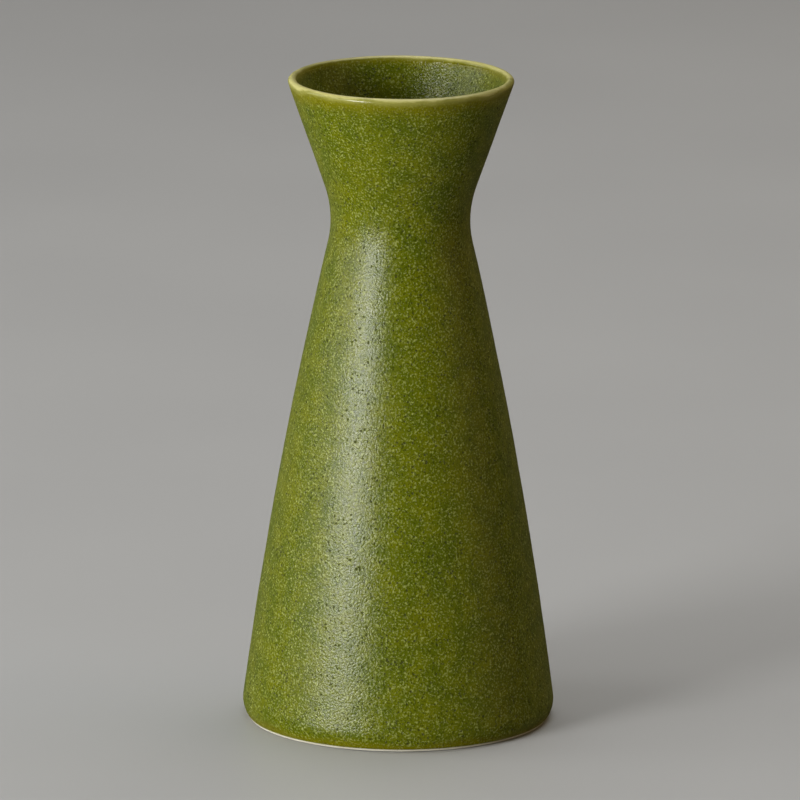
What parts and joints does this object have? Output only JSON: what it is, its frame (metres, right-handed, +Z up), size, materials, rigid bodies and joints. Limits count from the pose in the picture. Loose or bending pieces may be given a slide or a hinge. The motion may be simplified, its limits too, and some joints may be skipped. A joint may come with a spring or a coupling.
{
  "type": "sake bottle",
  "caption": "Ceramic sake bottle (tokkuri): conical body narrowing to a concave neck, wide flared pouring mouth, rounded foot edge, satin olive-green glaze inside and out.",
  "frame": {"origin": "centre of the foot ring, on the surface that the bottle stands on", "axes": "+Z up along the bottle's axis of revolution, from the foot to the mouth; +X and +Y are any two directions across it"},
  "size_m": [0.081, 0.081, 0.17],
  "materials": {
    "bare_clay": "unglazed fine stoneware, wiped clean of glaze at the foot ring",
    "outer_glaze": "satin olive-green glaze with fine pale speckle and dark pinholes, ochre and cream where it thins at the lip",
    "lining_glaze": "satin olive-green glaze, a little darker and smoother than outside",
    "base_glaze": "satin olive-green glaze in the recess of the foot"
  },
  "bodies": {
    "root": {"clay_body": "bare_clay", "outer_glaze": "outer_glaze", "lining_glaze": "lining_glaze", "base_glaze": "base_glaze"}
  },
  "joints": []
}
